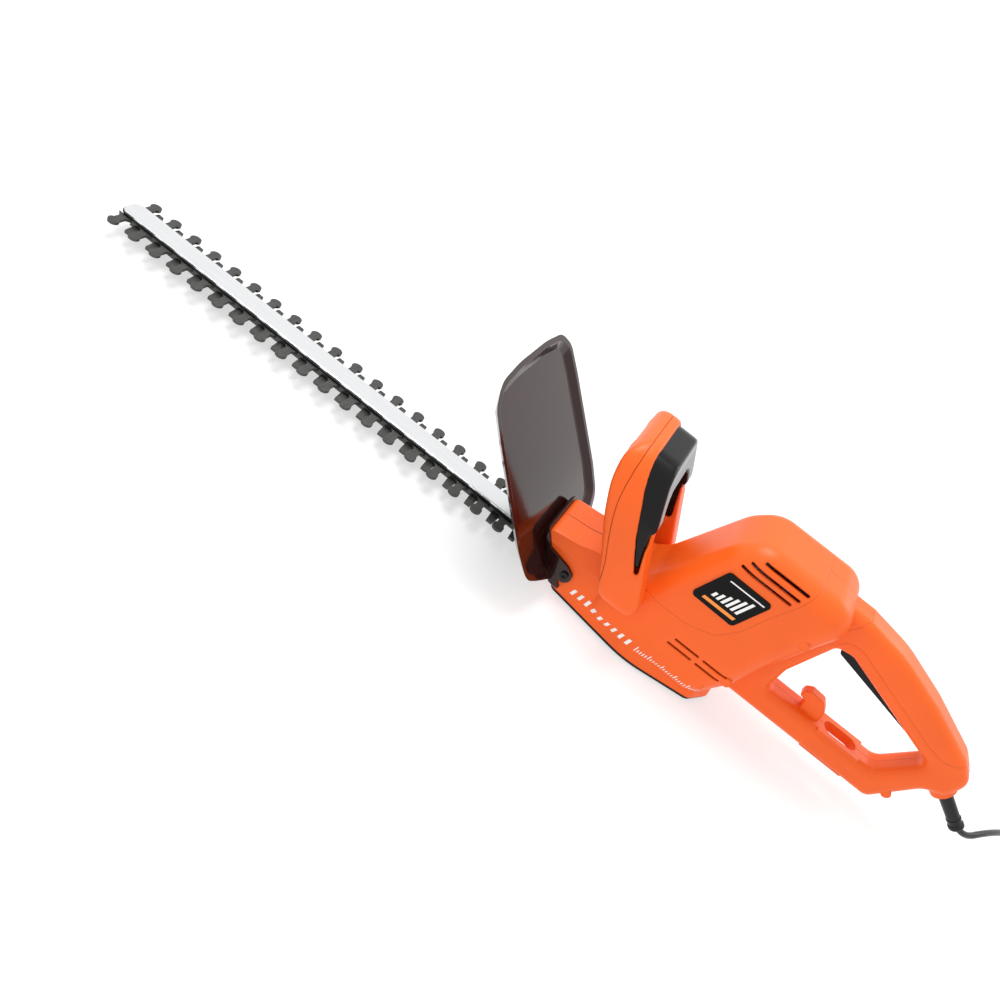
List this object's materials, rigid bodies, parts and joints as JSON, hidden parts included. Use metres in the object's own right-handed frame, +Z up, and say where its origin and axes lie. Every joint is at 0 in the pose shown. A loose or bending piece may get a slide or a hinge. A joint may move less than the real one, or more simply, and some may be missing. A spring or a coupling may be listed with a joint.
{
  "type": "hedge trimmer",
  "caption": "Corded electric hedge trimmer with a long double-sided reciprocating blade, hand guard, front bail handle and D-shaped rear handle.",
  "frame": {"origin": "middle of the length and width of the machine without its free lead, at the height of the base plate it stands on", "axes": "+X towards the rear handle, -X along the blade to its tip, +Y to the right-hand side seen by the user, +Z up"},
  "size_m": [1.158, 0.2054, 0.17],
  "materials": {
    "orange_shell": "satin moulded nylon",
    "black_cap": "fine matt moulded nylon",
    "black_gloss": "glossy moulded plastic",
    "smoked_guard": "glossy dark smoked polycarbonate",
    "bar_alloy": "brushed, edges broken",
    "blade_steel": "ground and phosphated dark",
    "zinc_steel": "zinc plated",
    "gear_steel": "hardened, light oil",
    "cast_alloy": "die cast",
    "bronze": "sintered bronze",
    "copper": "enamelled copper wire",
    "lamination": "stacked electrical steel",
    "carbon": "pressed carbon",
    "brass_metal": "drawn brass",
    "switch_plastic": "moulded phenolic",
    "fan_plastic": "glass-filled nylon",
    "cord_rubber": "smooth flexible sheath",
    "boot_rubber": "satin elastomer",
    "lead_plastic": "insulated wire",
    "label_print": "printed film",
    "cap_can": "dipped film capacitor",
    "spring_steel": "drawn spring wire"
  },
  "bodies": {
    "machine": {"blade_bar": "bar_alloy", "bar_bolts": "zinc_steel", "bar_screws": "zinc_steel", "gear_plate": "cast_alloy", "lower_bush": "bronze", "upper_bush": "bronze", "stator": "lamination", "field_coils": "copper", "lower_bearing": "zinc_steel", "upper_bearing": "zinc_steel", "bearing_bracket": "cast_alloy", "brush_holders": "brass_metal", "brushes": "carbon", "brush_springs": "spring_steel", "base_plate": "black_cap", "base_screws": "zinc_steel", "guard": "smoked_guard", "guard_screws": "zinc_steel", "motor_cover": "orange_shell", "grip_cover": "orange_shell", "casing_left": "orange_shell", "casing_right": "orange_shell", "casing_screws": "zinc_steel", "bail_front": "orange_shell", "bail_rear": "orange_shell", "trigger_pin": "zinc_steel", "rear_switch": "switch_plastic", "trigger_spring": "spring_steel", "front_switch": "switch_plastic", "switch_bar_springs": "spring_steel", "capacitor": "cap_can", "lead_in": "cord_rubber", "cord_boot": "boot_rubber", "cord_clamp": "switch_plastic", "plug_body": "cord_rubber", "plug_pins": "brass_metal", "internal_leads": "lead_plastic", "label_left": "label_print", "label_right": "label_print"},
    "gear": {"drive_gear": "gear_steel", "eccentric_shaft": "gear_steel"},
    "armature": {"armature_shaft": "gear_steel", "armature_core": "lamination", "armature_windings": "copper", "commutator": "copper", "fan": "fan_plastic", "pinion": "gear_steel"},
    "upper_cutter": {"upper_blade": "blade_steel"},
    "lower_cutter": {"lower_blade": "blade_steel"},
    "front_switch_bar": {"switch_bar": "black_gloss"},
    "front_button": {"front_plunger": "black_cap"},
    "trigger": {"rear_trigger": "black_cap"},
    "rear_button": {"rear_plunger": "black_cap"}
  },
  "joints": [
    {"name": "gear_spin", "type": "hinge", "parent": "machine", "child": "gear", "pos_m": [0.1317, 0, 0.023], "axis": [0, 0, 1], "continuous": true},
    {"name": "motor_spin", "type": "hinge", "parent": "machine", "child": "armature", "pos_m": [0.17545, 0, 0.074], "axis": [0, 0, 1], "continuous": true},
    {"name": "upper_cutter_slide", "type": "slide", "parent": "machine", "child": "upper_cutter", "axis": [1, 0, 0], "range_m": [0, 0.012]},
    {"name": "lower_cutter_slide", "type": "slide", "parent": "machine", "child": "lower_cutter", "axis": [1, 0, 0], "range_m": [-0.012, 0]},
    {"name": "switch_bar_press", "type": "slide", "parent": "machine", "child": "front_switch_bar", "axis": [-1, 0, 0], "range_m": [0, 0.004], "stiffness_N_per_m": 900, "springref_m": -0.004, "deforming": ["switch_bar_springs"]},
    {"name": "front_button_press", "type": "slide", "parent": "machine", "child": "front_button", "axis": [-1, 0, 0], "range_m": [0, 0.004]},
    {"name": "trigger_press", "type": "hinge", "parent": "machine", "child": "trigger", "pos_m": [0.3697, 0, 0.096], "axis": [0, 1, 0], "range_deg": [0, 4.4], "stiffness_Nm_per_rad": 4, "springref_deg": -4.58, "deforming": ["trigger_spring"]},
    {"name": "rear_button_press", "type": "slide", "parent": "machine", "child": "rear_button", "axis": [0, 0, 1], "range_m": [0, 0.0058]}
  ],
  "couplings": [
    {"joint": "motor_spin", "follows": "gear_spin", "ratio": -6},
    {"joint": "lower_cutter_slide", "follows": "upper_cutter_slide", "ratio": -1},
    {"joint": "front_button_press", "follows": "switch_bar_press", "ratio": 1},
    {"joint": "rear_button_press", "follows": "trigger_press", "m_per_rad": 0.073}
  ]
}
